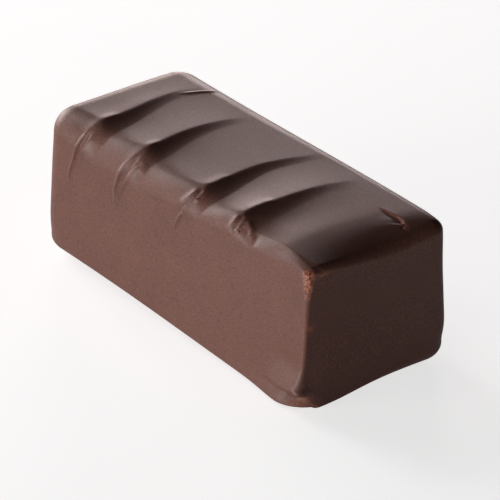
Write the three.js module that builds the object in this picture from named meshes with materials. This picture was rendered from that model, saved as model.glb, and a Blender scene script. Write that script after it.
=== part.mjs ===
// A dark chocolate bonbon: a cut bar of filling, coated in chocolate, with the four
// ridges that a dipping fork leaves across its top.
//
// Millimetres. +X runs along the length, towards the end with the sharper corners.
// -Y is the long side that the ridges curl down. +Z is up, and the origin is the
// centre of the flat base.
//
// The surface is one closed skin. It starts as a box of grid cells whose edges are
// rounded by different amounts at each corner, and the ridges are then raised on it.

import * as THREE from 'three';

// ---- driving dimensions -------------------------------------------------------------

const LENGTH = 39.0; // a filling cut 37.5 long, and the coat at both ends
const WIDTH = 16.7; // a filling cut 15 wide, and the coat on both sides
const HEIGHT = 14.15; // base to the plain top, without the ridges

// how far each face leans in between the base and the top
const FRONT_TAPER_LEFT = 0.5;
const FRONT_TAPER_RIGHT = 1.0;
const BACK_TAPER = 0.46;
const END_TAPER = 0.12;

// the top falls away towards the +X end
const END_DROP = 0.34;
const END_SLOPE_LENGTH = 7.5;

// rounding, given at the four upright edges: [-X -Y, +X -Y, -X +Y, +X +Y]
const PLAN_RADIUS_TOP = [2.5, 1.2, 2.5, 1.15];
const PLAN_RADIUS_MIDDLE = [2.4, 0.62, 2.0, 1.45];
const PLAN_RADIUS_BASE = [2.85, 3.3, 2.0, 2.25];
const TOP_ROUNDING_DEPTH = [2.3, 0.55, 2.0, 0.85];
const BASE_ROUNDING_DEPTH = [1.6, 0.3, 1.4, 1.65];

// Girth is the way round the section in the YZ plane. It is 0 along the front top
// edge, positive across the top and negative down the front. Each ridge's path gives
// the x of its crest at these girths.
const PATH_GIRTHS = [-6, -3, 0, 3.5, 8, 11, 14];
const RIDGE_PATHS = [
  [-15.3, -14.45, -13.45, -13.65, -14.05, -14.4, -13.3],
  [-8.1, -8.05, -6.85, -7.25, -7.6, -7.75, -6.2],
  [-0.2, 0.6, 2.15, 1.6, 1.0, 1.75, 2.7],
  [7.2, 7.7, 8.75, 7.5, 7.8, 7.95, 9.0],
];
const CREST_LIFTS = [0.22, 0.2, 0.16, 0.18]; // crest above the plain top
const VALLEY_DEPTHS = [0.85, 1.0, 0.95, 0.95]; // hollow on the crest's +X side
const RIDGE_REACHES = [14.6, 14.0, 15.2, 14.2]; // girth where the ridge has died out
const TRICKLE_ENDS = [-6.5, -5.3, -4.2, -2.8]; // girth where its line down the front ends

// girths between which a ridge grows from nothing, and from where it fades again
const RIDGE_START = -2.4;
const RIDGE_FULL = 2.2;
const CREST_FADES_FROM = 6;
const VALLEY_FADES_FROM = 4;

const LAST_VALLEY_WIDTH = 8.2; // right of the last ridge, where no ridge ends the hollow
const LEE_WIDTH_FRONT = 2.7; // steep side of a ridge, crest to the valley's lowest line
const LEE_WIDTH_BACK = 1.3;
const LEE_NARROWS = [1, 12]; // girths between which it narrows
const LEAST_RISE_WIDTH = 0.5;
const LEE_STEEPNESS = 2.1;
const RISE_STEEPNESS = 1.55;
const CREST_SOFTNESS = 0.14;
const FIRST_RISE_LENGTH = 2.6;

// y from which the relief fades towards the back, and the strip it leaves plain at
// each end
const BACK_FADE = { start: 6.5, length: 1.6 };
const END_FADE = { start: 17.0, length: 1.6 };

// thin line of chocolate that ran down the front from each crest, with a faint groove
// on its +X side
const TRICKLE = { height: 0.12, width: 0.17, topGirth: 1.8, topFade: 2.2, endFade: 1.6 };
const GROOVE = { share: 0.55, offset: 0.42, width: 0.24 };

// a flake broken out of the top near the +X end
const CHIP = { start: 13.8, end: 18.0, girth: 11.4, bow: 0.35, depth: 0.22, width: 1.4 };
const CHIP_EDGE = 0.12; // how far the broken edge takes to fall
const CHIP_END_FADES = [1.0, 0.6]; // along X, at its start and at its end

// shallow hollow along the front, just under the top edge, near the +X end
const HOLLOW = { start: 8, full: 13, girth: -1.7, halfWidth: 0.8, depth: 0.1 };

// swellings and dents of the near lower corner: centre, spread and height
const CORNER_MARKS = [
  { at: [17.6, -8.0, 3.1], spread: [2.2, 1.6, 1.1], height: -0.22 },
  { at: [18.75, -7.6, 2.0], spread: [0.55, 0.6, 0.55], height: 0.28 },
  { at: [18.5, -7.4, 0.6], spread: [1.0, 1.0, 0.8], height: 0.2 },
];

// grid: cells in the rounded strip along each edge, and in the flat stretches
const ROUND_CELLS = 4;
const ROWS_ACROSS = 26;
const ROWS_UP = 10;
const COLUMN_STEPS_AFTER_CREST = [0, 0.35, 1.0, 1.8, 2.7];
const COLUMNS_UP_TO_NEXT_CREST = 3;
const COLUMN_BEFORE_CREST = 0.35;
const COLUMNS_LEFT_OF_FIRST = [-17.0, -16.2, -15.4, -14.6];
const COLUMNS_RIGHT_OF_LAST = [3.8, 5.0, 6.2, 7.3, 8.3, 9.2, 10.0];
const COLUMN_GIRTH = 5; // the columns are spaced out along this girth
const PLAIN_END = 1.1; // the end strips that carry no columns of their own
const OUTERMOST_COLUMN = 0.985; // as a share of the flat half length
// the columns follow the crests between these girths, and in front of this y
const BEND_GIRTHS = { start: -10, full: -6, fades: 10, gone: 15.5 };
const BEND_BACK = { start: 5.2, length: 2.0 };
const DIAGONAL_BIAS = 1.1; // a cell keeps its first diagonal up to this ratio
const ON_BASE = 1e-9; // a height below this is rounding error

const LAST_RIDGE = RIDGE_PATHS.length - 1;

// ---- small helpers ------------------------------------------------------------------

function clamp(value, low, high) {
  return Math.min(high, Math.max(low, value));
}

function mix(a, b, share) {
  return a + (b - a) * share;
}

function smooth(value) {
  const t = clamp(value, 0, 1);
  return t * t * (3 - 2 * t);
}

// a smooth step from 0 at start to 1 at end
function smoothBetween(value, start, end) {
  return smooth((value - start) / (end - start));
}

function bell(value, width) {
  return Math.exp(-((value / width) ** 2));
}

// one value from four corner values, blended over the length and the width
function cornerMix(corners, alongX, alongY) {
  const u = smooth((alongX + 1) / 2);
  const w = smooth((alongY + 1) / 2);
  return mix(mix(corners[0], corners[1], u), mix(corners[2], corners[3], u), w);
}

// distance from a crest with its sharp tip rounded off
function softDistance(t) {
  return Math.hypot(t, CREST_SOFTNESS) - CREST_SOFTNESS;
}

// ---- ridge paths --------------------------------------------------------------------

// slope of a path at one of its stations: rise over the two neighbouring stretches,
// weighted so that the nearer neighbour counts more
function stationSlope(path, i) {
  const last = path.length - 1;
  if (i === 0) {
    return (path[1] - path[0]) / (PATH_GIRTHS[1] - PATH_GIRTHS[0]);
  }
  if (i === last) {
    return (path[last] - path[last - 1]) / (PATH_GIRTHS[last] - PATH_GIRTHS[last - 1]);
  }
  const before = PATH_GIRTHS[i] - PATH_GIRTHS[i - 1];
  const after = PATH_GIRTHS[i + 1] - PATH_GIRTHS[i];
  const slopeBefore = (path[i] - path[i - 1]) / before;
  const slopeAfter = (path[i + 1] - path[i]) / after;
  return (slopeBefore * after + slopeAfter * before) / (before + after);
}

// x of a ridge's crest at a girth: a smooth curve through its stations
function crestX(ridge, girth) {
  const path = RIDGE_PATHS[ridge];
  let i = 0;
  while (i < path.length - 2 && girth > PATH_GIRTHS[i + 1]) {
    i += 1;
  }
  const span = PATH_GIRTHS[i + 1] - PATH_GIRTHS[i];
  const t = clamp((girth - PATH_GIRTHS[i]) / span, 0, 1);
  const start = (1 + 2 * t) * (1 - t) ** 2 * path[i];
  const startSlope = t * (1 - t) ** 2 * span * stationSlope(path, i);
  const end = t * t * (3 - 2 * t) * path[i + 1];
  const endSlope = t * t * (t - 1) * span * stationSlope(path, i + 1);
  return start + startSlope + end + endSlope;
}

// ---- relief -------------------------------------------------------------------------

// 0 on the front and at the back, 1 where the ridge is strongest
function ridgeStrength(ridge, girth, fadesFrom) {
  const rise = smoothBetween(girth, RIDGE_START, RIDGE_FULL);
  return rise * (1 - smoothBetween(girth, fadesFrom, RIDGE_REACHES[ridge]));
}

function lift(ridge, girth) {
  return CREST_LIFTS[ridge] * ridgeStrength(ridge, girth, CREST_FADES_FROM);
}

// height of the top at x between one crest and the next: down a steep lee, then a
// longer rise, both hollow, so that the crests come out narrow
function valleyHeight(x, girth, ridge) {
  const isLast = ridge === LAST_RIDGE;
  const left = crestX(ridge, girth);
  const right = isLast ? left + LAST_VALLEY_WIDTH : crestX(ridge + 1, girth);
  const leeWidth = mix(LEE_WIDTH_FRONT, LEE_WIDTH_BACK, smoothBetween(girth, ...LEE_NARROWS));
  const riseWidth = Math.max(right - left - leeWidth, LEAST_RISE_WIDTH);
  const share = (x - left) / (right - left);
  const rightLift = isLast ? 0 : lift(ridge + 1, girth);
  const baseline = mix(lift(ridge, girth), rightLift, share);
  const depth = VALLEY_DEPTHS[ridge] * ridgeStrength(ridge, girth, VALLEY_FADES_FROM);
  let fallen;
  if (x - left < leeWidth) {
    const t = clamp(1 - softDistance(x - left) / leeWidth, 0, 1);
    fallen = 1 - t ** LEE_STEEPNESS;
  } else if (isLast) {
    fallen = smooth((right - x) / riseWidth);
  } else {
    const t = clamp(1 - softDistance(right - x) / riseWidth, 0, 1);
    fallen = 1 - t ** RISE_STEEPNESS;
  }
  return baseline - depth * fallen;
}

function ridgeHeight(x, girth) {
  const first = crestX(0, girth);
  if (x <= first) {
    return lift(0, girth) * Math.exp(-softDistance(x - first) / FIRST_RISE_LENGTH);
  }
  let ridge = LAST_RIDGE;
  while (crestX(ridge, girth) >= x) {
    ridge -= 1;
  }
  const beyondLast = ridge === LAST_RIDGE && x > crestX(ridge, girth) + LAST_VALLEY_WIDTH;
  return beyondLast ? 0 : valleyHeight(x, girth, ridge);
}

function trickleHeight(x, girth) {
  const below = smooth((TRICKLE.topGirth - girth) / TRICKLE.topFade);
  let height = 0;
  for (let ridge = 0; ridge <= LAST_RIDGE; ridge += 1) {
    const aside = x - crestX(ridge, girth);
    const strength = TRICKLE.height * below * smooth((girth - TRICKLE_ENDS[ridge]) / TRICKLE.endFade);
    height += strength * bell(aside, TRICKLE.width);
    height -= GROOVE.share * strength * bell(aside - GROOVE.offset, GROOVE.width);
  }
  return height;
}

// the broken edge is steep on its +Y side, and the scar fades out towards -Y
function chipHeight(x, girth) {
  const begun = smooth((x - CHIP.start) / CHIP_END_FADES[0]);
  const along = begun * (1 - smooth((x - CHIP.end) / CHIP_END_FADES[1]));
  const middle = (CHIP.start + CHIP.end) / 2;
  const inside = girth - CHIP.girth - CHIP.bow * bell(x - middle, middle - CHIP.start);
  if (inside >= 0) {
    return 0;
  }
  const step = 1 - Math.exp(inside / CHIP_EDGE);
  return -CHIP.depth * along * step * Math.exp(inside / CHIP.width);
}

function hollowHeight(x, girth) {
  const along = smoothBetween(x, HOLLOW.start, HOLLOW.full);
  return -HOLLOW.depth * along * bell(girth - HOLLOW.girth, HOLLOW.halfWidth);
}

function cornerHeight(x, y, z) {
  let height = 0;
  for (const mark of CORNER_MARKS) {
    const dx = (x - mark.at[0]) / mark.spread[0];
    const dy = (y - mark.at[1]) / mark.spread[1];
    const dz = (z - mark.at[2]) / mark.spread[2];
    height += mark.height * Math.exp(-(dx * dx + dy * dy + dz * dz));
  }
  return height;
}

// ---- one point of the skin ----------------------------------------------------------

// Each grid axis gives a point two numbers. flat runs from -1 to 1 over the flat
// stretch. round is 0 there, and runs to -1 or 1 over the rounded strip at its ends.

function planRadius(flatX, flatY, flatZ) {
  const middle = cornerMix(PLAN_RADIUS_MIDDLE, flatX, flatY);
  const top = cornerMix(PLAN_RADIUS_TOP, flatX, flatY);
  const base = cornerMix(PLAN_RADIUS_BASE, flatX, flatY);
  return middle + (top - middle) * smooth(flatZ) ** 2 + (base - middle) * smooth(-flatZ) ** 2;
}

// x of a point in the flat stretch, before the columns are bent along the crests
function straightX(flatX, flatY, flatZ) {
  const halfLength = LENGTH / 2 - (END_TAPER * (flatZ + 1)) / 2;
  return flatX * (halfLength - planRadius(flatX, flatY, flatZ));
}

// how much the columns follow the crests: fully on the top and the front alone
function bendShare(y, girth) {
  const low = smoothBetween(girth, BEND_GIRTHS.start, BEND_GIRTHS.full);
  const high = 1 - smoothBetween(girth, BEND_GIRTHS.fades, BEND_GIRTHS.gone);
  return low * high * (1 - smooth((y - BEND_BACK.start) / BEND_BACK.length));
}

// bends the grid's columns so that one of them runs along each crest
function columnShift(flat, girth) {
  let ridge = 0;
  while (ridge <= LAST_RIDGE && flat[0] > CREST_FLATS[ridge]) {
    ridge += 1;
  }
  const left = ridge === 0 ? -1 : CREST_FLATS[ridge - 1];
  const right = ridge > LAST_RIDGE ? 1 : CREST_FLATS[ridge];
  const leftShift = ridge === 0 ? 0 : crestShift(ridge - 1, flat, girth);
  const rightShift = ridge > LAST_RIDGE ? 0 : crestShift(ridge, flat, girth);
  return mix(leftShift, rightShift, (flat[0] - left) / (right - left));
}

function crestShift(ridge, flat, girth) {
  return crestX(ridge, girth) - straightX(CREST_FLATS[ridge], flat[1], flat[2]);
}

function skinPoint(flat, round) {
  const normal = new THREE.Vector3(...round.map((r) => Math.tan((r * Math.PI) / 4))).normalize();
  const rise = (flat[2] + 1) / 2;
  const radius = planRadius(...flat);
  const topDepth = cornerMix(TOP_ROUNDING_DEPTH, flat[0], flat[1]);
  const baseDepth = cornerMix(BASE_ROUNDING_DEPTH, flat[0], flat[1]);
  const frontTaper = mix(FRONT_TAPER_LEFT, FRONT_TAPER_RIGHT, smooth((flat[0] + 1) / 2));
  const front = -WIDTH / 2 + frontTaper * rise;
  const back = WIDTH / 2 - BACK_TAPER * rise;

  let x = straightX(...flat) + radius * normal.x;
  let y = (front + back) / 2 + flat[1] * ((back - front) / 2 - radius) + radius * normal.y;
  const slope = clamp((x - LENGTH / 2 + END_SLOPE_LENGTH) / END_SLOPE_LENGTH, 0, 1);
  const top = HEIGHT - END_DROP * slope ** 2;
  let z = mix(baseDepth, top - topDepth, rise) + (normal.z > 0 ? topDepth : baseDepth) * normal.z;

  const girth = y - front - (HEIGHT - z);
  const onUnderside = flat[2] === -1 && round[2] < 0;
  if (round[0] === 0 && !onUnderside) {
    x += bendShare(y, girth) * columnShift(flat, girth);
  }

  // the ridges stand on the top and the front, and die out towards the ends
  const up = Math.max(normal.z, 0);
  const forward = Math.max(-normal.y, 0);
  const awayFromBack = 1 - smooth((y - BACK_FADE.start) / BACK_FADE.length);
  const onTopOrFront = Math.min(up + forward, 1) * awayFromBack;
  const offTheEnds = 1 - smooth((Math.abs(x) - END_FADE.start) / END_FADE.length);
  let height = (ridgeHeight(x, girth) + trickleHeight(x, girth)) * onTopOrFront * offTheEnds;
  height += chipHeight(x, girth) * up;
  height += hollowHeight(x, girth) * forward;
  const sideways = cornerHeight(x, y, z);

  x += normal.x * (height + sideways);
  y += normal.y * (height + sideways);
  z += normal.z * height;
  return [x, y, Math.abs(z) < ON_BASE ? 0 : z];
}

// ---- grid ---------------------------------------------------------------------------

// flat and round values along one axis, for the given stations in the flat stretch
function gridAxis(flats) {
  const stations = [];
  for (let i = 0; i < ROUND_CELLS; i += 1) {
    stations.push({ flat: -1, round: -1 + i / ROUND_CELLS });
  }
  for (const flat of flats) {
    stations.push({ flat, round: 0 });
  }
  for (let i = 1; i <= ROUND_CELLS; i += 1) {
    stations.push({ flat: 1, round: i / ROUND_CELLS });
  }
  return stations;
}

function evenFlats(cells) {
  return Array.from({ length: cells + 1 }, (_, i) => -1 + (2 * i) / cells);
}

// columns along the length: close together at each crest, wider apart between them
function columnPlaces() {
  const crests = RIDGE_PATHS.map((_, ridge) => crestX(ridge, COLUMN_GIRTH));
  const places = [...COLUMNS_LEFT_OF_FIRST];
  crests.forEach((crest, i) => {
    places.push(crest - COLUMN_BEFORE_CREST);
    for (const step of COLUMN_STEPS_AFTER_CREST) {
      places.push(crest + step);
    }
    if (i === LAST_RIDGE) {
      places.push(...COLUMNS_RIGHT_OF_LAST.map((step) => crest + step));
      return;
    }
    const from = crest + COLUMN_STEPS_AFTER_CREST.at(-1);
    const to = crests[i + 1] - COLUMN_BEFORE_CREST;
    for (let k = 1; k < COLUMNS_UP_TO_NEXT_CREST; k += 1) {
      places.push(mix(from, to, k / COLUMNS_UP_TO_NEXT_CREST));
    }
  });
  return places;
}

const FLAT_HALF_LENGTH = LENGTH / 2 - PLAIN_END;
const CREST_FLATS = RIDGE_PATHS.map((_, ridge) => crestX(ridge, COLUMN_GIRTH) / FLAT_HALF_LENGTH);

function columnFlats() {
  const inner = columnPlaces().map((place) => place / FLAT_HALF_LENGTH);
  return [-1, ...inner.filter((flat) => Math.abs(flat) < OUTERMOST_COLUMN), 1];
}

// ---- skin ---------------------------------------------------------------------------

function bonbonGeometry() {
  const axes = [gridAxis(columnFlats()), gridAxis(evenFlats(ROWS_ACROSS)), gridAxis(evenFlats(ROWS_UP))];
  const last = axes.map((axis) => axis.length - 1);
  const positions = [];
  const numbers = new Map();
  const triangles = [];

  // the number of a grid point, which is made when it is first asked for
  function vertex(i, j, k) {
    const key = `${i} ${j} ${k}`;
    if (!numbers.has(key)) {
      const stations = [axes[0][i], axes[1][j], axes[2][k]];
      const flat = stations.map((station) => station.flat);
      const round = stations.map((station) => station.round);
      numbers.set(key, positions.length / 3);
      positions.push(...skinPoint(flat, round));
    }
    return numbers.get(key);
  }

  // two triangles, split along the clearly shorter diagonal
  function quad(a, b, c, d) {
    if (squareGap(a, c) <= DIAGONAL_BIAS * squareGap(b, d)) {
      triangles.push(a, b, c, a, c, d);
    } else {
      triangles.push(a, b, d, b, c, d);
    }
  }

  function squareGap(a, b) {
    let sum = 0;
    for (let n = 0; n < 3; n += 1) {
      sum += (positions[3 * a + n] - positions[3 * b + n]) ** 2;
    }
    return sum;
  }

  for (let i = 0; i < last[0]; i += 1) {
    for (let j = 0; j < last[1]; j += 1) {
      const k = last[2];
      quad(vertex(i, j, k), vertex(i + 1, j, k), vertex(i + 1, j + 1, k), vertex(i, j + 1, k));
    }
    for (let k = 0; k < last[2]; k += 1) {
      const j = last[1];
      quad(vertex(i, 0, k), vertex(i + 1, 0, k), vertex(i + 1, 0, k + 1), vertex(i, 0, k + 1));
      quad(vertex(i, j, k), vertex(i, j, k + 1), vertex(i + 1, j, k + 1), vertex(i + 1, j, k));
    }
  }
  for (let j = 0; j < last[1]; j += 1) {
    for (let k = 0; k < last[2]; k += 1) {
      const i = last[0];
      quad(vertex(0, j, k), vertex(0, j, k + 1), vertex(0, j + 1, k + 1), vertex(0, j + 1, k));
      quad(vertex(i, j, k), vertex(i, j + 1, k), vertex(i, j + 1, k + 1), vertex(i, j, k + 1));
    }
  }

  // under the part: the rounded strips round the rim, then flat planks inside them
  const inner = [ROUND_CELLS, last[0] - ROUND_CELLS, last[1] - ROUND_CELLS];
  const [start, end, far] = inner;
  for (let i = 0; i < last[0]; i += 1) {
    for (let j = 0; j < last[1]; j += 1) {
      if (i < start || i >= end || j < start || j >= far) {
        quad(vertex(i, j, 0), vertex(i, j + 1, 0), vertex(i + 1, j + 1, 0), vertex(i + 1, j, 0));
      }
    }
  }
  for (let i = start + 1; i < end - 1; i += 1) {
    quad(vertex(i, start, 0), vertex(i, far, 0), vertex(i + 1, far, 0), vertex(i + 1, start, 0));
  }
  // a fan closes the planks at each end, from the end of the last plank that lies
  // furthest from the rim
  for (let j = start; j < far; j += 1) {
    triangles.push(vertex(start, j, 0), vertex(start, j + 1, 0), vertex(start + 1, start, 0));
    triangles.push(vertex(end, j + 1, 0), vertex(end, j, 0), vertex(end - 1, start, 0));
  }
  triangles.push(vertex(start, far, 0), vertex(start + 1, far, 0), vertex(start + 1, start, 0));
  triangles.push(vertex(end, far, 0), vertex(end - 1, start, 0), vertex(end - 1, far, 0));

  const geometry = new THREE.BufferGeometry();
  geometry.setAttribute('position', new THREE.Float32BufferAttribute(positions, 3));
  geometry.setIndex(triangles);
  geometry.computeVertexNormals();
  return geometry;
}

// ---- model --------------------------------------------------------------------------

const darkChocolate = new THREE.MeshStandardMaterial({ color: 0x6f4a41, roughness: 0.42, metalness: 0 });

const bonbon = new THREE.Mesh(bonbonGeometry(), darkChocolate);
bonbon.name = 'bonbon';

const model = new THREE.Group();
model.add(bonbon);

export default model;
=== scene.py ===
# %% [markdown]
# # A dark chocolate bonbon
# The real thing is a bar of soft filling, cut with wires and dipped in dark chocolate.
# A dipping fork with four prongs carried it out of the chocolate, and each prong left a
# low ridge across the top. The prongs were drawn away over one long side, so there the
# ridges end in small curls and run down the side as thin lines.
#
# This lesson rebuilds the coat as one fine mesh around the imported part, gives it a
# satin chocolate material, and lights it from low down, because it is the shaded lee
# sides in a low light that make such flat ridges readable.

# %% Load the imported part
import math

import bpy
import numpy as np
from mathutils import Matrix, Vector, noise


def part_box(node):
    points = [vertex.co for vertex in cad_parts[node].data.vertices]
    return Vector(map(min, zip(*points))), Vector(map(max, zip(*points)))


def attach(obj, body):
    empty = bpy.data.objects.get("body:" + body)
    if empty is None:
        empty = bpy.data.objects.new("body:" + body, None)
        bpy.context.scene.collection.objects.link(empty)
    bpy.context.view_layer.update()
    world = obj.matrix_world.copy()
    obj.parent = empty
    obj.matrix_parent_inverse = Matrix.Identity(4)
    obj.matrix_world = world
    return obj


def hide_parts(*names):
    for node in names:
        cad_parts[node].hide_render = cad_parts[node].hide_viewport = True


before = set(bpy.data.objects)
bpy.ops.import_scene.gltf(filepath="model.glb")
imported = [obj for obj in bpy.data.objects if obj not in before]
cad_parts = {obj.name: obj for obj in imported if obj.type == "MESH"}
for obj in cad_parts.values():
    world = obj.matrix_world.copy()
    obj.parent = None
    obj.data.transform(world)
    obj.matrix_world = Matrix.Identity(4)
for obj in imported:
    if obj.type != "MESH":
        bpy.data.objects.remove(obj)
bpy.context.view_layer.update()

MM = 0.001
lowest, highest = (np.array(corner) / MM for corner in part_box("bonbon"))
print("packed part, mm:", lowest.round(2), highest.round(2))

# %% [markdown]
# ## The camera
# A product photographer stands far back with a long lens, which keeps the box's edges
# nearly parallel. The camera looks down from above the corner between the +X end and
# the -Y side. Its angles are worked out from the box's outline in the photograph.

# %% Camera
VIEW_AZIMUTH = 53.318  # degrees from -Y towards +X
VIEW_ELEVATION = 28.223
VIEW_ROLL = -0.046
VIEW_DISTANCE = 664.0  # mm
AIM = (1.116, 0.0, 5.702)
PICTURE_WIDTH = 500  # pixels
FOCAL_LENGTH_PIXELS = 7500.0
SENSOR_WIDTH = 36.0
CLIP_START = 0.01  # m


def direction(azimuth, elevation):
    """Unit vector at an azimuth, from -Y towards +X, and an elevation, in degrees."""
    a, e = math.radians(azimuth), math.radians(elevation)
    return Vector((math.sin(a) * math.cos(e), -math.cos(a) * math.cos(e), math.sin(e)))


def add_object(name, data):
    made = bpy.data.objects.new(name, data)
    bpy.context.scene.collection.objects.link(made)
    return made


def make_camera():
    back = direction(VIEW_AZIMUTH, VIEW_ELEVATION)
    level = direction(VIEW_AZIMUTH + 90, 0)
    turn = Matrix.Rotation(math.radians(VIEW_ROLL), 3, back)
    across = turn @ level
    up = turn @ back.cross(level)
    data = bpy.data.cameras.new("camera")
    data.sensor_width = SENSOR_WIDTH
    data.lens = FOCAL_LENGTH_PIXELS / PICTURE_WIDTH * SENSOR_WIDTH
    data.clip_start = CLIP_START
    camera = add_object("camera", data)
    camera.matrix_world = Matrix((across, up, back)).transposed().to_4x4()
    camera.location = (Vector(AIM) + back * VIEW_DISTANCE) * MM
    return camera


bpy.context.scene.camera = make_camera()
print("lens:", round(bpy.context.scene.camera.data.lens), "mm")

# %% [markdown]
# ## The coat's plain form
# A box with rounded edges could come from a cube with a Bevel modifier, but here every
# corner is rounded by a different amount, and the ridges need mesh rows that follow
# them. So the coat is a grid of cells over the six faces of a box, and a formula places
# each grid point. Along each axis a point has two numbers: `flat` runs from -1 to 1
# over the flat stretch, and `bent` is 0 there and runs to -1 or 1 over the rounded
# strip at each end. The sizes are in millimetres.

# %% Sizes of the plain form
LENGTH = highest[0] - lowest[0]
WIDTH = highest[1] - lowest[1]
CREST_ABOVE_TOP = 0.22
HEIGHT = highest[2] - CREST_ABOVE_TOP

FRONT_TAPERS = (0.5, 1.0)  # how far the -Y side leans in, at its -X and its +X end
BACK_TAPER = 0.46
END_TAPER = 0.12
END_DROPS = (0.4, 0.9, 1.05, 0.5)  # how far the top falls to the +X end, front to back
END_SLOPE_LENGTHS = (8.4, 6.6, 5.6, 4.2)  # where that fall begins, before the end
END_SLOPE_POWER = 3
BACK_DROP = 0.12  # how far the top falls to the back edge
BACK_SLOPE_LENGTH = 6.0

# rounding at the four upright edges: (-X -Y, +X -Y, -X +Y, +X +Y)
PLAN_RADIUS_TOP = (2.5, 0.7, 2.5, 1.15)
PLAN_RADIUS_MIDDLE = (2.4, 0.38, 2.0, 1.45)
PLAN_RADIUS_BASE = (2.85, 3.3, 2.0, 2.25)
FOOT_SHARPNESS = 6  # the larger, the nearer to the table the corners widen
TOP_ROUNDING = (2.3, 0.55, 2.0, 0.85)
BASE_ROUNDING = (1.6, 0.3, 1.4, 1.65)

# the shoulder over the -Y side is rounder than its two corners
SHOULDER_EXTRA = 0.85
SHOULDER_FLATS = (-0.95, -0.5, 0.7, 0.97)  # it grows and fades between these


def smooth(value):
    t = np.clip(value, 0, 1)
    return t * t * (3 - 2 * t)


def step(value, start, end):
    """Smooth step from 0 at start to 1 at end."""
    return smooth((value - start) / (end - start))


def bell(value, width):
    return np.exp(-((value / width) ** 2))


def mix(a, b, share):
    return a + (b - a) * share


def corner_mix(corners, flat):
    u, w = smooth((flat[0] + 1) / 2), smooth((flat[1] + 1) / 2)
    return mix(mix(corners[0], corners[1], u), mix(corners[2], corners[3], u), w)


def plan_radius(flat):
    middle = corner_mix(PLAN_RADIUS_MIDDLE, flat)
    top = corner_mix(PLAN_RADIUS_TOP, flat) - middle
    base = corner_mix(PLAN_RADIUS_BASE, flat) - middle
    return middle + top * smooth(flat[2]) ** 2 + base * smooth(-flat[2]) ** FOOT_SHARPNESS


def shoulder(flat):
    """1 where the front top edge is rounder, fading to 0 at the corners and elsewhere."""
    low, full, fades, gone = SHOULDER_FLATS
    along = step(flat[0], low, full) * (1 - step(flat[0], fades, gone))
    return along * smooth((1 - flat[1]) / 2) * smooth((flat[2] + 1) / 2)


def straight_x(flat):
    half_length = LENGTH / 2 - END_TAPER * (flat[2] + 1) / 2
    return flat[0] * (half_length - plan_radius(flat))


print("plain form, mm:", round(LENGTH, 2), round(WIDTH, 2), round(HEIGHT, 2))

# %% [markdown]
# ## Girth, and the ridges' paths
# The ridges cross the top and bend over its edge, so neither Y nor Z alone says where
# on a ridge a point is. **Girth** does: it is the way round the section, 0 along the
# front top edge, positive across the top and negative down the front. A ridge's path
# is then just x as a smooth function of girth, given at a few stations.

# %% Ridge paths
MIDDLE_GIRTH = 5.0  # about half way across the top
PATH_GIRTHS = np.array((-6.0, -3.5, -1.5, 0.5, 2.5, 5.5, 8.5, 11.0, 14.0))
RIDGE_PATHS = (
    (-15.2, -14.6, -14.1, -13.5, -13.5, -13.7, -14.15, -14.3, -13.4),
    (-7.9, -8.25, -7.6, -7.15, -6.95, -7.4, -7.55, -7.3, -6.4),
    (0.2, 0.75, 1.1, 1.85, 2.05, 1.7, 1.55, 2.05, 2.8),
    (7.0, 7.4, 7.9, 8.1, 7.95, 7.85, 7.85, 8.1, 8.8),
)
LAST_RIDGE = len(RIDGE_PATHS) - 1


def through(stations, values, at):
    """Smooth curve through values at stations: each station's slope follows from its
    neighbours, and a cubic joins two stations."""
    values = np.asarray(values, float)
    slopes = np.gradient(values, stations)
    i = np.clip(np.searchsorted(stations, at) - 1, 0, len(stations) - 2)
    span = stations[i + 1] - stations[i]
    t = np.clip((at - stations[i]) / span, 0, 1)
    start = (1 + 2 * t) * (1 - t) ** 2 * values[i] + t * (1 - t) ** 2 * span * slopes[i]
    end = t**2 * (3 - 2 * t) * values[i + 1] + t**2 * (t - 1) * span * slopes[i + 1]
    return start + end


def crest_x(ridge, girth):
    return through(PATH_GIRTHS, RIDGE_PATHS[ridge], girth)


spacing = np.diff([crest_x(ridge, MIDDLE_GIRTH) for ridge in range(LAST_RIDGE + 1)])
print("crests apart, mm:", spacing.round(1))

# %% [markdown]
# ## The ridges' section
# Drawn chocolate sets like a row of small waves. Each crest is narrow, its +X side
# falls away steeply (a lee, as on a dune), and a longer rise leads up to the next one.
# The hollows between the ridges sag a little towards the front edge.

# %% Ridges and hollows
CREST_LIFTS = (0.22, 0.2, 0.16, 0.2)  # crest above the plain top
HOLLOW_DEPTHS = (0.44, 0.5, 0.48, 0.42)
RIDGE_REACHES = (14.6, 14.0, 15.2, 14.2)  # girth where a ridge has died out
CREST_GIRTHS = (-1.5, 2.0)  # a crest grows between these girths
CREST_FADES_FROM = 6.0
HOLLOW_FADES_FROM = 1.0
SAG_FROM = 3.2  # the hollows' floors bend down from this girth to the front
SAG_CURVE = 0.11
SAG_REACH = 5.4
LAST_HOLLOW_WIDTH = 7.4
LEE_WIDTHS = (2.3, 1.3)  # at the front and at the back
LEE_NARROWS = (1.0, 11.0)
LEAST_RISE_WIDTH = 0.5
LEE_STEEPNESS = 2.1
RISE_STEEPNESS = 1.05
CREST_SOFTNESS = 0.3
FIRST_RISE_LENGTH = 2.6


def soft_distance(t):
    """Distance from a crest, with the sharp tip at 0 rounded off."""
    return np.hypot(t, CREST_SOFTNESS) - CREST_SOFTNESS


def lift(ridge, girth):
    fades = 1 - step(girth, CREST_FADES_FROM, RIDGE_REACHES[ridge])
    return CREST_LIFTS[ridge] * step(girth, *CREST_GIRTHS) * fades


def hollow_depth(ridge, girth):
    sag = SAG_CURVE / 2 * np.clip(SAG_FROM - girth, 0, SAG_REACH) ** 2
    fades = 1 - step(girth, HOLLOW_FADES_FROM, RIDGE_REACHES[ridge])
    return (HOLLOW_DEPTHS[ridge] + sag) * fades


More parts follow.
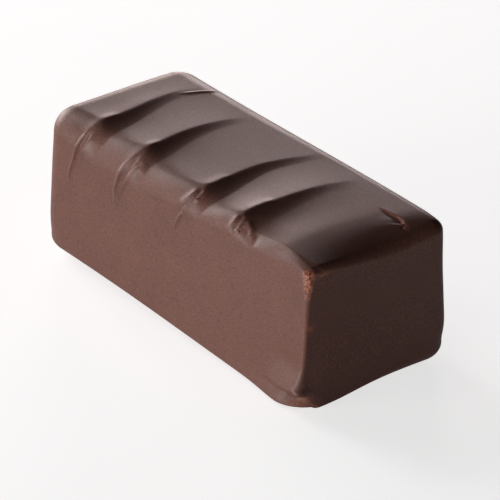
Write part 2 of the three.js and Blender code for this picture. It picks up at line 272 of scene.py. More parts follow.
def right_side(ridge, girth):
    """Where the hollow after a ridge ends: at the next crest."""
    if ridge == LAST_RIDGE:
        return crest_x(ridge, girth) + LAST_HOLLOW_WIDTH
    return crest_x(ridge + 1, girth)


def fall_and_rise(ridge, x, girth):
    """0 at both crests and 1 at the bottom of the hollow between them."""
    left, right = crest_x(ridge, girth), right_side(ridge, girth)
    lee = mix(*LEE_WIDTHS, step(girth, *LEE_NARROWS))
    rise = np.maximum(right - left - lee, LEAST_RISE_WIDTH)
    down = 1 - np.clip(1 - soft_distance(x - left) / lee, 0, 1) ** LEE_STEEPNESS
    if ridge == LAST_RIDGE:
        up = smooth((right - x) / rise)
    else:
        up = 1 - np.clip(1 - soft_distance(right - x) / rise, 0, 1) ** RISE_STEEPNESS
    return np.where(x - left < lee, down, up)


def ridge_relief(x, girth):
    """Crest lift above the plain top, and depth of the hollows below it."""
    first = crest_x(0, girth)
    raised = lift(0, girth) * np.exp(-soft_distance(x - first) / FIRST_RISE_LENGTH)
    sunk = np.zeros_like(x)
    for ridge in range(LAST_RIDGE + 1):
        left, right = crest_x(ridge, girth), right_side(ridge, girth)
        inside = (x > left) & (x <= right)
        right_lift = 0 if ridge == LAST_RIDGE else lift(ridge + 1, girth)
        between = mix(lift(ridge, girth), right_lift, (x - left) / (right - left))
        raised = np.where(inside, between, raised)
        sunk = np.where(inside, hollow_depth(ridge, girth) * fall_and_rise(ridge, x, girth), sunk)
    return np.where(x > right_side(LAST_RIDGE, girth), 0, raised), sunk


print("hollow below the top, mm:", -round(float(hollow_depth(1, MIDDLE_GIRTH)), 2))

# %% [markdown]
# ## Curls at the front
# Where the fork left the piece, the chocolate closed over it. Each crest runs on down
# the front as a thin raised lip, a second lip bends down into it, and a narrow fold
# lies between the two. These are **strokes**: curves through a few places on the
# surface, given as x and girth, with a raised or sunk section of their own.

# %% Strokes
STROKE_SAMPLES = 8
STROKE_MARGIN = 2.5
STROKE_FADES = (0.22, 0.3)  # share of its length over which a stroke grows and fades
# path from the top down, height, width on the -X side and on the +X side
STROKES = (
    # first ridge: broad crest, long lip, fold, inner lip
    (((-13.6, 4.6), (-13.5, 2.6), (-13.5, 0.9), (-13.9, -0.6)), 0.06, 0.60, 0.3),
    (((-13.5, 0.6), (-14.0, -1.4), (-14.6, -3.5), (-15.1, -5.0), (-15.2, -6.4)), 0.16, 0.2, 0.12),
    (((-13.3, 0.9), (-13.6, -1.0), (-14.2, -2.9), (-14.7, -4.2)), -0.10, 0.14, 0.22),
    (((-12.9, 0.4), (-13.0, -0.9), (-13.5, -2.2), (-14.1, -3.8)), 0.07, 0.16, 0.30),
    # second ridge
    (((-7.3, 4.4), (-7.0, 2.4), (-7.15, 0.6), (-7.5, -1.2)), 0.06, 0.55, 0.3),
    (((-7.2, 0.4), (-7.9, -2.4), (-8.3, -3.8), (-8.2, -4.9), (-7.9, -5.5)), 0.19, 0.28, 0.12),
    (((-6.6, 1.2), (-7.0, -0.5), (-7.35, -2.0), (-7.8, -3.6)), -0.16, 0.14, 0.22),
    (((-5.9, 0.4), (-6.3, -1.0), (-7.0, -2.5), (-7.6, -3.8), (-7.8, -4.8)), 0.12, 0.20, 0.26),
    (((-5.6, 0.5), (-5.6, 0.0)), 0.10, 0.40, 0.50),
    # third ridge
    (((1.7, 5.0), (1.95, 3.2), (2.0, 1.6)), 0.05, 0.60, 0.3),
    (((2.0, 1.5), (1.8, 0.2), (1.3, -0.9), (0.85, -2.1)), 0.11, 0.40, 0.16),
    (((2.25, 1.7), (2.15, 0.6), (1.8, -0.8), (1.3, -2.0)), -0.15, 0.13, 0.24),
    (((1.45, -2.0), (0.75, -3.2), (0.35, -4.3)), 0.14, 0.16, 0.12),
    (((2.6, 0.25), (2.35, -0.15)), 0.14, 0.08, 0.14),
    # fourth ridge
    (((7.8, 5.2), (7.8, 3.6), (8.0, 1.6)), 0.05, 0.60, 0.3),
    (((8.1, 1.4), (8.1, -0.4), (7.85, -1.9)), 0.10, 0.42, 0.16),
    (((8.4, 1.4), (8.5, 0.3), (8.35, -1.0)), -0.1, 0.16, 0.24),
    (((9.0, 0.3), (8.85, -0.4), (8.55, -1.3)), 0.07, 0.16, 0.09),
    (((9.25, 0.3), (9.1, -0.3)), -0.13, 0.10, 0.15),
    (((8.9, 1.3), (9.6, 1.0), (10.3, 0.5), (10.5, -0.5)), 0.12, 0.32, 0.42),
    (((11.0, 0.9), (11.25, -0.1), (11.2, -1.0)), -0.09, 0.34, 0.34),
    # a fork mark that branches off the first ridge at the back
    (((-13.8, 11.0), (-12.9, 13.0), (-12.2, 14.2)), 0.07, 0.20, 0.14),
)


def stroke_curve(path):
    """Points of a smooth curve through the path."""
    knots = np.arange(len(path))
    fine = np.linspace(0, len(path) - 1, STROKE_SAMPLES * (len(path) - 1) + 1)
    return np.stack([through(knots, column, fine) for column in zip(*path)], axis=-1)


def beside_curve(curve, x, girth):
    """Distance from a curve, its side (1 towards +X) and the share of the way along."""
    distance, side, along = np.full_like(x, np.inf), np.ones_like(x), np.zeros_like(x)
    for index, (start, end) in enumerate(zip(curve[:-1], curve[1:])):
        run = end - start
        share = ((x - start[0]) * run[0] + (girth - start[1]) * run[1]) / (run @ run)
        share = np.clip(share, 0, 1)
        off_x, off_girth = x - start[0] - share * run[0], girth - start[1] - share * run[1]
        nearer = np.hypot(off_x, off_girth) < distance
        distance = np.where(nearer, np.hypot(off_x, off_girth), distance)
        side = np.where(nearer, np.sign(run[0] * off_girth - run[1] * off_x), side)
        along = np.where(nearer, (index + share) / (len(curve) - 1), along)
    return distance, side, along


def stroke_height(x, girth):
    total = np.zeros_like(x)
    for path, height, left_width, right_width in STROKES:
        curve = stroke_curve(path)
        low, high = curve.min(axis=0) - STROKE_MARGIN, curve.max(axis=0) + STROKE_MARGIN
        near = (x > low[0]) & (x < high[0]) & (girth > low[1]) & (girth < high[1])
        distance, side, along = beside_curve(curve, x[near], girth[near])
        width = np.where(side > 0, right_width, left_width)
        ends = smooth(along / STROKE_FADES[0]) * smooth((1 - along) / STROKE_FADES[1])
        if len(path) == 2:  # a short fold, full from end to end
            ends = 1
        total[near] += height * ends * bell(distance, width)
    return total


print("strokes:", len(STROKES))

# %% [markdown]
# ## Marks of handling
# The end with the sharper corners was knocked. A thin flake has come off the top, the
# edge under the near top corner has crumbled, and the coat has sagged into a small
# foot at the near lower corner. All of this is part of the form, so it is modelled:
# the chip, the band and the ledge here, and the crumbled edge in the next step.

# %% Chip, hollow and foot
CHIP_PATH = ((14.0, 11.3), (14.8, 11.7), (15.6, 11.8), (16.4, 11.95), (17.1, 11.8), (17.7, 11.5))
CHIP_DEPTH = 0.19
CHIP_EDGE = 0.1
CHIP_WIDTH = 0.7
CHIP_LIP = 0.05
CHIP_LIP_WIDTH = 0.15
CHIP_FADES = (0.5, 0.15)  # as STROKE_FADES
CHIP_NEAR = (12.0, 8.0)  # no trace of the chip below this x and girth
# a hollow band under the front edge, near the corner
BAND_STARTS = (10.0, 15.0)
BAND_GIRTHS = (0.9, -1.8)
BAND_DEPTH = 0.16
BAND_EDGE = 0.16
# a ledge above the near lower corner: path, height, width below and above it
LEDGE_PATH = ((13.0, -12.2), (15.2, -12.3), (17.0, -12.3), (18.8, -12.0))
LEDGE_HEIGHT = 0.56
LEDGE_WIDTHS = (0.16, 1.3)
LEDGE_GROWS = 0.7  # share of its length over which the ledge grows
LEDGE_NEAR = (12.0, -9.0)  # no trace of it below this x or above this girth
# swellings and dents of that corner: centre, spread, height
CORNER_MARKS = (
    ((17.6, -8.0, 4.2), (1.9, 1.6, 1.0), -0.14),
    ((19.0, -7.85, 2.05), (0.45, 0.45, 0.4), 0.5),
    ((18.8, -7.8, 1.35), (0.7, 0.7, 0.2), -0.28),
    ((17.0, -7.8, 0.2), (3.6, 3.2, 1.1), 0.5),
)


def chip_height(x, girth):
    """A thin flake has come off on the -Y side of the path, and left a small lip."""
    height = np.zeros_like(x)
    near = (x > CHIP_NEAR[0]) & (girth > CHIP_NEAR[1])
    distance, side, along = beside_curve(stroke_curve(CHIP_PATH), x[near], girth[near])
    ends = smooth(along / CHIP_FADES[0]) * smooth((1 - along) / CHIP_FADES[1])
    gone = CHIP_DEPTH * (1 - np.exp(-distance / CHIP_EDGE)) * np.exp(-distance / CHIP_WIDTH)
    lip = CHIP_LIP * np.exp(-distance / CHIP_LIP_WIDTH)
    height[near] = ends * np.where(side < 0, -gone, lip)
    return height


def band_height(x, girth):
    across = np.clip((BAND_GIRTHS[0] - girth) / (BAND_GIRTHS[0] - BAND_GIRTHS[1]), 0, 1)
    section = (1 - np.exp(-across / BAND_EDGE)) * (1 - smooth(across))
    return -BAND_DEPTH * step(x, *BAND_STARTS) * section


def blob(place, centre, spread):
    return np.exp(-sum(((p - c) / s) ** 2 for p, c, s in zip(place, centre, spread)))


def ledge_height(x, girth):
    height = np.zeros_like(x)
    near = (x > LEDGE_NEAR[0]) & (girth < LEDGE_NEAR[1])
    distance, side, along = beside_curve(stroke_curve(LEDGE_PATH), x[near], girth[near])
    width = np.where(side > 0, LEDGE_WIDTHS[1], LEDGE_WIDTHS[0])
    height[near] = LEDGE_HEIGHT * smooth(along / LEDGE_GROWS) * bell(distance, width)
    return height


def corner_height(place):
    return sum(height * blob(place, centre, spread) for centre, spread, height in CORNER_MARKS)


print("corner marks:", len(CORNER_MARKS))

# %% [markdown]
# ## Broken skin
# Where the coat was scraped, its smooth skin is gone and the crumbly inside of the
# chocolate shows, lighter and more orange. One number a point, `scuff`, says how broken
# the skin is there. It roughens the shape here, and the material reads it for colour.

# %% Scuffed places
SCRAPE_HEIGHTS = (10.6, 11.2, 13.7, 14.1)  # mm above the table: grows and fades
SCRAPE_WIDTHS = (0.55, 1.25)  # round the near upright edge, at the bottom and at the top
SCRAPE_CORE = 0.4  # share of that width in which the skin is all gone
EDGE_LINE_HEIGHTS = (4.0, 6.0, 10.0, 11.0)
EDGE_LINE_WIDTH = 0.5
EDGE_LINE_STRENGTH = 0.5
CHIP_RIM_WIDTHS = (0.14, 0.5)  # on the whole side and on the broken side
CHIP_RIM_STRENGTHS = (0.15, 0.8)  # at the path's start and at its end
CHIP_RIM_GROWS = 0.1
# smaller rough spots: centre, spread, strength
SCUFF_SPOTS = (
    ((19.3, -7.2, 8.1), (0.5, 0.4, 0.35), 0.7),
    ((19.35, -5.9, 13.0), (0.5, 0.7, 0.25), 0.5),
    ((19.0, -7.8, 1.2), (0.6, 0.6, 0.3), 0.5),
    ((18.6, -8.0, 0.6), (0.8, 0.7, 0.4), 0.4),
    ((17.9, 4.1, 13.6), (0.4, 0.3, 0.6), 0.6),
)
ERODED = 0.10
EROSION = (0.5, 1.1)  # the even part, and the part that varies with the noise
SCUFF_NOISE_SCALE = 4.0
SCUFF_NOISE = (0.6, 2.2, 4)  # roughness, frequency step and octaves
LEAST_SCUFF = 0.03  # below this the noise isn't worked out


def scuff_share(place, normal, x, girth):
    """0 on whole skin and 1 where it is broken."""
    gap = (LENGTH / 2 - place[0]) + (girth + HEIGHT - place[2])
    low, full, fades, gone = SCRAPE_HEIGHTS
    heights = step(place[2], low, full) * (1 - step(place[2], fades, gone))
    width = mix(*SCRAPE_WIDTHS, step(place[2], low, fades))
    share = (1 - step(gap, SCRAPE_CORE * width, width)) * heights
    low, full, fades, gone = EDGE_LINE_HEIGHTS
    heights = step(place[2], low, full) * (1 - step(place[2], fades, gone))
    line = (1 - step(gap, 0, EDGE_LINE_WIDTH)) * heights * EDGE_LINE_STRENGTH
    share = np.maximum(share, line)
    near = (x > CHIP_NEAR[0]) & (girth > CHIP_NEAR[1]) & (normal[2] > 0.5)
    distance, side, along = beside_curve(stroke_curve(CHIP_PATH), x[near], girth[near])
    rim = bell(distance, np.where(side < 0, CHIP_RIM_WIDTHS[1], CHIP_RIM_WIDTHS[0]))
    rim = rim * mix(*CHIP_RIM_STRENGTHS, along) * smooth(along / CHIP_RIM_GROWS)
    share[near] = np.maximum(share[near], rim)
    for centre, spread, strength in SCUFF_SPOTS:
        share = np.maximum(share, strength * blob(place, centre, spread))
    return share


def crumbly(place, share):
    """Rough noise from -1 to 1 where the share is above zero."""
    rough = np.zeros_like(share)
    for index in np.flatnonzero(share > LEAST_SCUFF):
        spot = Vector(place[:, index]) * SCUFF_NOISE_SCALE
        rough[index] = noise.fractal(spot, *SCUFF_NOISE)
    return rough


print("rough spots:", len(SCUFF_SPOTS))

# %% [markdown]
# ## From formula to mesh
# Mesh detail goes where the eye goes: grid lines crowd together at the crests, at the
# front edge and near the knocked corner, and they spread out elsewhere. On the top the
# columns bend to follow the crests, so no crest cuts across cells and turns jagged.

# %% Grid stations
COLUMNS = 250
ROWS_ACROSS = 112
ROWS_UP = 84
# where the stations crowd: how many times denser, less 1, and over what spread
COLUMN_CROWDING = (2.2, 0.07)
ACROSS_CROWDING = (1.5, 0.25)
UP_CROWDING = (1.2, 0.4)
LEE_FLAT = 0.04  # the lee sides lie this much beyond the crests
KNOCKED_FLAT = 0.97
ROUND_CELLS = 18
PLAIN_END = 1.1
BEND_GIRTHS = (-10.0, -6.0, 10.0, 15.5)
BEND_BACK = (5.2, 7.2)
FINE_STEPS = 2001


def crowded(count, centres, gain, spread):
    """count + 1 stations from -1 to 1, up to 1 + gain times denser near the centres."""
    fine = np.linspace(-1, 1, FINE_STEPS)
    density = 1 + gain * np.max([bell(fine - centre, spread) for centre in centres], axis=0)
    total = np.concatenate(((0,), np.cumsum((density[1:] + density[:-1]) / 2)))
    return np.interp(np.linspace(0, total[-1], count + 1), total, fine)


def grid_axis(flats):
    ends = np.arange(ROUND_CELLS) / ROUND_CELLS
    flat = np.concatenate((np.full(ROUND_CELLS, -1.0), flats, np.full(ROUND_CELLS, 1.0)))
    bent = np.concatenate((ends - 1, np.zeros(len(flats)), ends + 1 / ROUND_CELLS))
    return flat, bent


CREST_FLATS = [crest_x(r, MIDDLE_GIRTH) / (LENGTH / 2 - PLAIN_END) for r in range(LAST_RIDGE + 1)]
COLUMN_CENTRES = [crest + LEE_FLAT for crest in CREST_FLATS] + [KNOCKED_FLAT]
axes = (
    grid_axis(crowded(COLUMNS, COLUMN_CENTRES, *COLUMN_CROWDING)),
    grid_axis(crowded(ROWS_ACROSS, [-1.0], *ACROSS_CROWDING)),
    grid_axis(crowded(ROWS_UP, [1.0], *UP_CROWDING)),
)
print("grid lines:", [len(flat) for flat, bent in axes])


# %% Grid points and faces
def box_grid():
    """Flat and bent numbers of every point on the six faces, and the quads."""
    counts = [len(flat) for flat, bent in axes]
    index = np.indices(counts)
    outer = np.zeros(counts, bool)
    for axis, count in enumerate(counts):
        outer |= (index[axis] == 0) | (index[axis] == count - 1)
    number = np.full(counts, -1)
    number[outer] = np.arange(outer.sum())
    flat = np.stack([axes[axis][0][index[axis][outer]] for axis in range(3)])
    bent = np.stack([axes[axis][1][index[axis][outer]] for axis in range(3)])
    quads = []
    for axis in range(3):
        for side in (0, -1):
            sheet = np.take(number, side, axis=axis)
            cells = (sheet[:-1, :-1], sheet[1:, :-1], sheet[1:, 1:], sheet[:-1, 1:])
            quad = np.stack(cells, axis=-1).reshape(-1, 4)
            facing_out = (side == -1) == (axis != 1)
            quads.append(quad if facing_out else quad[:, ::-1])
    return flat, bent, np.concatenate(quads)


def column_shift(flat, girth):
    """How far a column moves so that it follows the crests on either side of it."""
    stops = [-1.0, *CREST_FLATS, 1.0]
    shifts = [np.zeros_like(girth)]
    for ridge, crest in enumerate(CREST_FLATS):
        at_crest = np.stack((np.full_like(girth, crest), flat[1], flat[2]))
        shifts.append(crest_x(ridge, girth) - straight_x(at_crest))
    shifts.append(np.zeros_like(girth))
    shift = np.zeros_like(girth)
    for i in range(len(stops) - 1):
        share = (flat[0] - stops[i]) / (stops[i + 1] - stops[i])
        inside = (share > 0) & (share <= 1)
        shift = np.where(inside, mix(shifts[i], shifts[i + 1], share), shift)
    return shift


def coat_points(flat, bent):
    """Every grid point's place in mm, normal, girth and depth below the plain top."""
    normal = np.tan(bent * np.pi / 4)
    normal = normal / np.linalg.norm(normal, axis=0)
    rise = (flat[2] + 1) / 2
    radius = plan_radius(flat)
    extra = SHOULDER_EXTRA * shoulder(flat)
    top_depth = corner_mix(TOP_ROUNDING, flat) + extra
    base_depth = corner_mix(BASE_ROUNDING, flat)
    front = -WIDTH / 2 + mix(*FRONT_TAPERS, smooth((flat[0] + 1) / 2)) * rise
    back = WIDTH / 2 - BACK_TAPER * rise
    x = straight_x(flat) + radius * normal[0]
    reach = radius + extra
    y = (front + back) / 2 + flat[1] * ((back - front) / 2 - reach) + reach * normal[1]
    stations = np.linspace(-1, 1, len(END_DROPS))
    drop = through(stations, END_DROPS, flat[1])
    slope = np.clip(1 + (x - LENGTH / 2) / through(stations, END_SLOPE_LENGTHS, flat[1]), 0, 1)
    back_slope = np.clip(1 + (y - WIDTH / 2) / BACK_SLOPE_LENGTH, 0, 1)
    top = HEIGHT - drop * slope**END_SLOPE_POWER - BACK_DROP * back_slope**2
    depth = np.where(normal[2] > 0, top_depth, base_depth)
    z = mix(base_depth, top - top_depth, rise) + depth * normal[2]

    girth = y - front - (HEIGHT - z)
    low, full, fades, gone = BEND_GIRTHS
    bends = step(girth, low, full) * (1 - step(girth, fades, gone)) * (1 - step(y, *BEND_BACK))
    underside = (flat[2] == -1) & (bent[2] < 0)
    bends = np.where(underside | (bent[0] != 0), 0, bends)
    x = x + bends * column_shift(flat, girth)
    return np.stack((x, y, z)), normal, girth, np.maximum(top - z, 0)


flat, bent, quads = box_grid()
place, normal, girth, below = coat_points(flat, bent)
print("points:", place.shape[1], "quads:", len(quads))

# %% Raise the relief and make the mesh
BACK_FADE = (6.5, 8.1)
END_FADE = (17.6, 19.0)
CUT_FADE = (2.6, 5.0)  # no cuts this far below the top
EDGE_BLEND = 2.8  # the larger, the crisper the hollows' front edges


def raise_relief(place, normal, girth, below):
    """Hollows are cut straight down, so that a hollow simply runs out where the rounded
    shoulder is lower than its floor. The fine relief then follows the surface."""
    x, y, z = place
    up, forward = np.maximum(normal[2], 0), np.maximum(-normal[1], 0)
    shown = (1 - step(y, *BACK_FADE)) * (1 - step(abs(x), *END_FADE))
    raised, sunk = ridge_relief(x, girth)
    sunk = sunk * shown * (1 - step(below, *CUT_FADE))
    cut = (below**EDGE_BLEND + sunk**EDGE_BLEND) ** (1 / EDGE_BLEND) - below
    fine = (raised + stroke_height(x, girth)) * shown * np.minimum(up + forward, 1)
    fine = fine + chip_height(x, girth) * up + band_height(x, girth) * (up + forward)
    fine = fine + ledge_height(x, girth) * forward
    scuff = scuff_share(place, normal, x, girth)
    even, varied = EROSION
    fine = fine - ERODED * scuff * (even + varied * crumbly(place, scuff))
    moved = place + normal * fine
    moved[:2] += normal[:2] * corner_height(place)  # sideways only
    moved[2] -= cut
    return moved, scuff


coat_place, scuff = raise_relief(place, normal, girth, below)
print("points with broken skin:", int((scuff > 0.5).sum()))


# %% The coat's mesh
def make_coat():
    data = bpy.data.meshes.new("chocolate_coat")
    data.from_pydata((coat_place.T * MM).tolist(), [], quads.tolist())
    data.attributes.new("scuff", "FLOAT", "POINT").data.foreach_set("value", scuff)
    data.shade_smooth()
    data.update()
    return add_object("chocolate_coat", data)


coat = make_coat()
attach(coat, "root")
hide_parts("bonbon")
print("coat faces:", len(coat.data.polygons))

# %% [markdown]
# ## Crumbs
# Tiny crumbs stick to the broken places. Each is an icosahedron with its corners moved
# at random, turned and stretched. The random numbers are seeded, so every run gives the
# same crumbs, and all of them are one mesh.

# %% Crumbs
CRUMB_COUNT = 150
CRUMB_RADII = (0.03, 0.11)
CRUMB_SEED = 7
CRUMB_LEAST_SCUFF = 0.45
CRUMB_LEAST_HEIGHT = 0.25  # so that no crumb goes through the table
CRUMB_STANDS_OUT = 0.3  # share of its radius
CRUMB_STRETCH = (0.6, 1.2)  # along each axis
CRUMB_JAGS = (0.75, 1.2)  # each corner's distance from the middle
CORNERS = 12
GOLDEN = (1 + 5**0.5) / 2


def icosahedron():
    corners = [(0, a, b * GOLDEN) for a in (-1, 1) for b in (-1, 1)]
    corners = corners + [(a, b, 0) for b, c, a in corners] + [(b, 0, a) for c, a, b in corners]
    corners = np.array(corners, float)
    edge = min(np.linalg.norm(corners[0] - corner) for corner in corners[1:])
    gaps = np.linalg.norm(corners[:, None] - corners[None], axis=2)
    joined = np.isclose(gaps, edge)
    faces = []
    for i in range(CORNERS):
        for j in range(i + 1, CORNERS):
            for k in range(j + 1, CORNERS):
                if joined[i, j] and joined[j, k] and joined[i, k]:
                    out = np.cross(corners[j] - corners[i], corners[k] - corners[i])
                    faces.append((i, j, k) if out @ corners[i] > 0 else (i, k, j))
    return corners / np.linalg.norm(corners[0]), np.array(faces)


def make_crumbs():
    rng = np.random.default_rng(CRUMB_SEED)
    corners, faces = icosahedron()
    free = coat_place[2] > CRUMB_LEAST_HEIGHT
    spots = np.flatnonzero((scuff > CRUMB_LEAST_SCUFF) & free)
    points, polygons = [], []
    for index in rng.choice(spots, CRUMB_COUNT):
        size = mix(*CRUMB_RADII, rng.random() ** 2)
        turned = corners @ np.linalg.qr(rng.normal(size=(3, 3)))[0]
        stretched = turned * rng.uniform(*CRUMB_STRETCH, 3)
        shape = stretched * rng.uniform(*CRUMB_JAGS, (CORNERS, 1))
        polygons.append(faces + CORNERS * len(points))
        middle = coat_place[:, index] + normal[:, index] * size * CRUMB_STANDS_OUT
        points.append(middle + shape * size)
    data = bpy.data.meshes.new("crumbs")
    corners_m = np.concatenate(points) * MM
    data.from_pydata(corners_m.tolist(), [], np.concatenate(polygons).tolist())
    data.update()
    return add_object("crumbs", data)


crumbs = make_crumbs()
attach(crumbs, "root")
print("crumbs:", CRUMB_COUNT, "triangles:", len(crumbs.data.polygons))

# %% [markdown]
# ## Chocolate
# Set chocolate is satin, not glossy. Its colour is a dark brown, and the grey on its top
# is mirrored light. A fine grain breaks up the sheen, and slow, faint cloudiness keeps
# the large faces from looking like plastic. Both come from one node group, because the
# crumbs and the floor use it too.

# %% Node group
NOISE_RANGE = (0.3, 0.7)  # noise values are rarely outside this
SPECKLE_DETAIL = 2.0


def new_group(name, inputs, outputs):
    group = bpy.data.node_groups.new(name, "ShaderNodeTree")
    for socket, kind, value in inputs:
        made = group.interface.new_socket(socket, in_out="INPUT", socket_type=kind)
        if value is not None:
            made.default_value = value
    for socket, kind in outputs:
        group.interface.new_socket(socket, in_out="OUTPUT", socket_type=kind)
    return group, group.nodes.new("NodeGroupInput"), group.nodes.new("NodeGroupOutput")


def noise_pattern(tree, vector, scale, detail):
    node = tree.nodes.new("ShaderNodeTexNoise")
    node.inputs["Detail"].default_value = detail
    tree.links.new(vector, node.inputs["Vector"])
    if isinstance(scale, (int, float)):
        node.inputs["Scale"].default_value = scale
    else:
        tree.links.new(scale, node.inputs["Scale"])
    return node.outputs["Fac"]


def remap(tree, value, low, high):
    """A 0 to 1 value taken to low to high. low and high are numbers or sockets."""
    node = tree.nodes.new("ShaderNodeMapRange")
    tree.links.new(value, node.inputs["Value"])
    node.inputs["From Min"].default_value = NOISE_RANGE[0]
    node.inputs["From Max"].default_value = NOISE_RANGE[1]
    for socket, end in (("To Min", low), ("To Max", high)):
        if isinstance(end, (int, float)):
            node.inputs[socket].default_value = end
        else:
            tree.links.new(end, node.inputs[socket])
    return node.outputs["Result"]


def math_node(tree, operation, first, second):
    node = tree.nodes.new("ShaderNodeMath")
    node.operation = operation
    for socket, value in zip(node.inputs, (first, second)):
        if isinstance(value, (int, float)):
            socket.default_value = value
        else:
            tree.links.new(value, socket)
    return node.outputs[0]


def speckle_group():
    """A value that varies round 1 over the surface, by Strength up and down."""
    group, start, end = new_group(
        "speckle",
        [("Position", "NodeSocketVector", None), ("Scale", "NodeSocketFloat", 8.0),
         ("Strength", "NodeSocketFloat", 0.1)],
        [("Factor", "NodeSocketFloat"), ("Height", "NodeSocketFloat")],
    )
    position, scale = start.outputs["Position"], start.outputs["Scale"]
    pattern = noise_pattern(group, position, scale, SPECKLE_DETAIL)
    strength = start.outputs["Strength"]
    low = math_node(group, "SUBTRACT", 1.0, strength)
    high = math_node(group, "ADD", 1.0, strength)
    group.links.new(remap(group, pattern, low, high), end.inputs["Factor"])
    group.links.new(pattern, end.inputs["Height"])
    return group


SPECKLE = speckle_group()
print("node groups:", [group.name for group in bpy.data.node_groups])

# %% Chocolate material
CHOCOLATE = (0.165, 0.070, 0.053)
BROKEN_CHOCOLATE = (0.46, 0.17, 0.105)
ROUGHNESS = 0.46
CRUMB_ROUGHNESS = 0.7
# speckle patterns: scale, in waves per mm, and strength
GRAIN = (12.0, 0.5)
CLOUDS = (0.25, 0.05)
PATCHES = (3.0, 0.5)
CRUMB_PALENESS = (5.0, 0.45)
CRUMB_GRAIN = (14.0, 0.2)
BUMP_STRENGTH = 0.35
BUMP_HEIGHT = 0.00002  # m


def material_with(name, base_color, roughness):
    material = bpy.data.materials.new(name)
    material.use_nodes = True
    shader = material.node_tree.nodes["Principled BSDF"]
    shader.inputs["Base Color"].default_value = (*base_color, 1)
    shader.inputs["Roughness"].default_value = roughness
    return material, material.node_tree, shader


def position_mm(tree):
    coordinates = tree.nodes.new("ShaderNodeTexCoord")
    scaled = tree.nodes.new("ShaderNodeVectorMath")
    scaled.operation = "SCALE"
    scaled.inputs["Scale"].default_value = 1 / MM
    tree.links.new(coordinates.outputs["Object"], scaled.inputs[0])
    return scaled.outputs["Vector"]


def speckle(tree, position, scale, strength):
    node = tree.nodes.new("ShaderNodeGroup")
    node.node_tree = SPECKLE
    tree.links.new(position, node.inputs["Position"])
    node.inputs["Scale"].default_value = scale
    node.inputs["Strength"].default_value = strength
    return node


def scale_color(tree, color, factor):
    node = tree.nodes.new("ShaderNodeVectorMath")
    node.operation = "SCALE"
    if isinstance(color, tuple):
        node.inputs[0].default_value = color
    else:
        tree.links.new(color, node.inputs[0])
    tree.links.new(factor, node.inputs["Scale"])
    return node.outputs["Vector"]


def blend_color(tree, share, first, second):
    """first where the share is 0 and second where it is 1."""
    node = tree.nodes.new("ShaderNodeMix")
    node.data_type = "RGBA"
    tree.links.new(share, node.inputs[0])
    for socket, color in ((node.inputs[6], first), (node.inputs[7], second)):
        if isinstance(color, tuple):
            socket.default_value = (*color, 1)
        else:
            tree.links.new(color, socket)
    return node.outputs[2]


def chocolate_material():
    material, tree, shader = material_with("satin_chocolate", CHOCOLATE, ROUGHNESS)
    position = position_mm(tree)
    grain = speckle(tree, position, *GRAIN)
    clouds = speckle(tree, position, *CLOUDS)
    shade = math_node(tree, "MULTIPLY", grain.outputs["Factor"], clouds.outputs["Factor"])
    attribute = tree.nodes.new("ShaderNodeAttribute")
    attribute.attribute_name = "scuff"
    patchy = speckle(tree, position, *PATCHES)
    share = math_node(tree, "MULTIPLY", attribute.outputs["Fac"], patchy.outputs["Factor"])
    broken = math_node(tree, "MINIMUM", share, 1.0)
    color = scale_color(tree, blend_color(tree, broken, CHOCOLATE, BROKEN_CHOCOLATE), shade)
    tree.links.new(color, shader.inputs["Base Color"])
    rough = math_node(tree, "MULTIPLY", clouds.outputs["Factor"], ROUGHNESS)
    tree.links.new(rough, shader.inputs["Roughness"])
    bump = tree.nodes.new("ShaderNodeBump")
    bump.inputs["Strength"].default_value = BUMP_STRENGTH
    bump.inputs["Distance"].default_value = BUMP_HEIGHT
    tree.links.new(grain.outputs["Height"], bump.inputs["Height"])
    tree.links.new(bump.outputs["Normal"], shader.inputs["Normal"])
    return material


def crumb_material():
    material, tree, shader = material_with("crumbled_chocolate", BROKEN_CHOCOLATE, CRUMB_ROUGHNESS)
    position = position_mm(tree)
    pale = speckle(tree, position, *CRUMB_PALENESS)
    grain = speckle(tree, position, *CRUMB_GRAIN)
    shade = math_node(tree, "MULTIPLY", pale.outputs["Factor"], grain.outputs["Factor"])
    tree.links.new(scale_color(tree, BROKEN_CHOCOLATE, shade), shader.inputs["Base Color"])
    rough = math_node(tree, "MULTIPLY", grain.outputs["Factor"], CRUMB_ROUGHNESS)
    tree.links.new(rough, shader.inputs["Roughness"])
    return material


coat.data.materials.append(chocolate_material())
crumbs.data.materials.append(crumb_material())
print("materials:", [material.name for material in bpy.data.materials])

# %% [markdown]
# ## Floor and light
# The floor is a pale sweep. The light is soft and low. Rectangles of light stand in an
# arc: the ones at the back left and over the -X end are mirrored in the top and give it
# its grey sheen, and the low ones before the -Y side light the long side. The +X end
# stays in shade. Their strengths began as a fit of such rectangles to the brightness
# of named places in the photograph, and were then merged, rounded and adjusted.

# %% Floor
FLOOR_HALF_SIZE = 1.2  # m
FLOOR_ALBEDO = (0.8, 0.8, 0.8)
FLOOR_ROUGHNESS = 0.8
FLOOR_MOTTLE = (0.05, 0.01)  # speckle scale and strength
FLOOR_GLOW = 0.6  # seen by the camera only
FLOOR_LIGHT = 0.1  # the part that also lights the piece


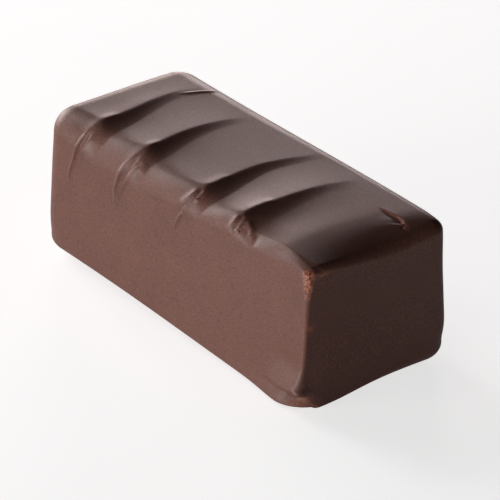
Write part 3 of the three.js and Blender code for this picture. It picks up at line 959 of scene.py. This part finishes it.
def make_floor():
    s = FLOOR_HALF_SIZE
    data = bpy.data.meshes.new("floor")
    data.from_pydata([(-s, -s, 0), (s, -s, 0), (s, s, 0), (-s, s, 0)], [], [(0, 1, 2, 3)])
    material, tree, shader = material_with("pale_sweep", FLOOR_ALBEDO, FLOOR_ROUGHNESS)
    mottle = speckle(tree, position_mm(tree), *FLOOR_MOTTLE)
    color = scale_color(tree, FLOOR_ALBEDO, mottle.outputs["Factor"])
    tree.links.new(color, shader.inputs["Base Color"])
    light_path = tree.nodes.new("ShaderNodeLightPath")
    seen = math_node(tree, "MULTIPLY", light_path.outputs["Is Camera Ray"], FLOOR_GLOW)
    glow = math_node(tree, "ADD", seen, FLOOR_LIGHT)
    shader.inputs["Emission Color"].default_value = (1, 1, 1, 1)
    tree.links.new(glow, shader.inputs["Emission Strength"])
    data.materials.append(material)
    return add_object("floor", data)


make_floor()

# %% Lights
WASH_DISTANCE = 0.6  # m
ROOM_COLOR = (0.9, 0.95, 1.0)
ROOM_STRENGTH = 0.01
# name, azimuth and elevation of the centre, width and height in degrees, radiance, colour
WASHES = (
    ("back_low", -127.5, 7.0, 15.0, 14.0, 12.0, (1.0, 0.84, 0.82)),
    ("left_low", -112.5, 7.0, 15.0, 14.0, 2.0, (1.0, 0.86, 0.84)),
    ("left_key", -90.0, 7.0, 30.0, 14.0, 9.0, (1.0, 0.89, 0.87)),
    ("left_middle", -88.0, 21.0, 34.0, 14.0, 4.2, (1.0, 0.95, 0.94)),
    ("left_high", -84.0, 35.0, 18.0, 14.0, 3.9, (0.92, 0.97, 1.0)),
    ("corner_low", -67.5, 6.0, 15.0, 12.0, 4.4, (1.0, 0.86, 0.84)),
    ("corner_middle", -67.5, 21.0, 15.0, 14.0, 2.4, (1.0, 1.0, 1.0)),
    ("front_low", -15.0, 5.2, 30.0, 10.4, 15.6, (1.0, 0.98, 0.95)),
    ("front_right_low", 15.0, 5.2, 30.0, 10.4, 8.8, (1.0, 0.98, 0.94)),
    ("right_low", 45.0, 7.0, 30.0, 14.0, 0.6, (1.0, 0.8, 0.75)),
)


def span(angle):
    """Length in metres that covers an angle as seen from the piece."""
    return 2 * WASH_DISTANCE * math.tan(math.radians(angle / 2))


def add_wash(name, azimuth, elevation, width, height, radiance, color):
    data = bpy.data.lights.new(name, "AREA")
    data.shape = "RECTANGLE"
    data.size = span(width) * math.cos(math.radians(elevation))
    data.size_y = span(height)
    data.energy = radiance * math.pi * data.size * data.size_y
    data.color = color
    light = add_object(name, data)
    towards = direction(azimuth, elevation)
    light.location = towards * WASH_DISTANCE
    light.rotation_mode = "QUATERNION"
    light.rotation_quaternion = towards.to_track_quat("Z", "Y")


for wash in WASHES:
    add_wash(*wash)

world = bpy.data.worlds.new("room")
bpy.context.scene.world = world
world.use_nodes = True
background = world.node_tree.nodes["Background"]
background.inputs["Color"].default_value = (*ROOM_COLOR, 1)
background.inputs["Strength"].default_value = ROOM_STRENGTH
bpy.context.scene.view_settings.view_transform = "Standard"
print("lights:", [wash[0] for wash in WASHES])
